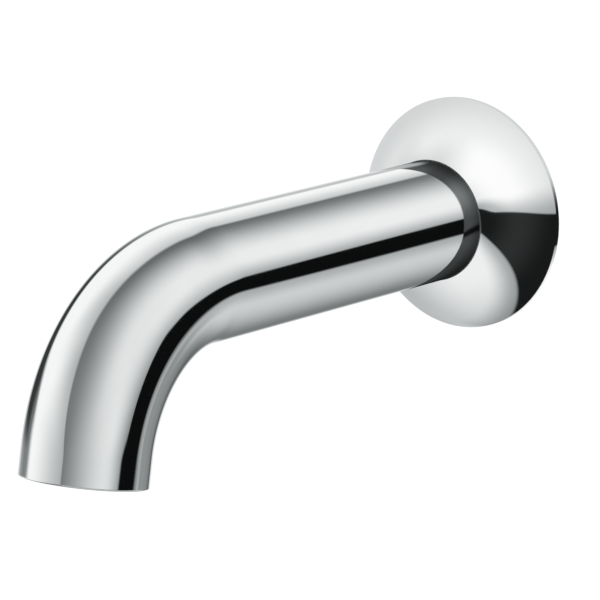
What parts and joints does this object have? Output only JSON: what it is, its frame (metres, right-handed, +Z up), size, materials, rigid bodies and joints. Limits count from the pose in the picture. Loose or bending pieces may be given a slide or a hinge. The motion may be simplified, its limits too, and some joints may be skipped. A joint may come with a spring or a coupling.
{
  "type": "bath spout",
  "caption": "Wall-mounted bath spout: bent chromed tube on a push-on threaded spigot, with a domed wall flange and a honeycomb stream straightener in the outlet.",
  "frame": {"origin": "centre of the flange's back face, on the inlet axis, in the plane of the finished wall", "axes": "+Y into the wall along the inlet axis, -Y out along the spout, +Z up, X across the spout"},
  "size_m": [0.0734, 0.2215, 0.0902],
  "materials": {
    "polished_chrome": "mirror polished",
    "turned_brass": "fine turned",
    "screw_steel": "plain steel",
    "seal_rubber": "smooth black rubber",
    "gasket_foam": "closed-cell foam",
    "grey_plastic": "moulded, matte"
  },
  "bodies": {
    "root": {"spout_tube": "polished_chrome", "wall_flange": "polished_chrome", "straightener_housing": "polished_chrome", "inlet_sleeve": "turned_brass", "fixing_spigot": "turned_brass", "outlet_bush": "turned_brass", "grub_screw": "screw_steel", "spigot_seal_rear": "seal_rubber", "spigot_seal_front": "seal_rubber", "flange_seal": "seal_rubber", "straightener_washer": "seal_rubber", "wall_gasket": "gasket_foam", "honeycomb_core": "grey_plastic"}
  },
  "joints": []
}
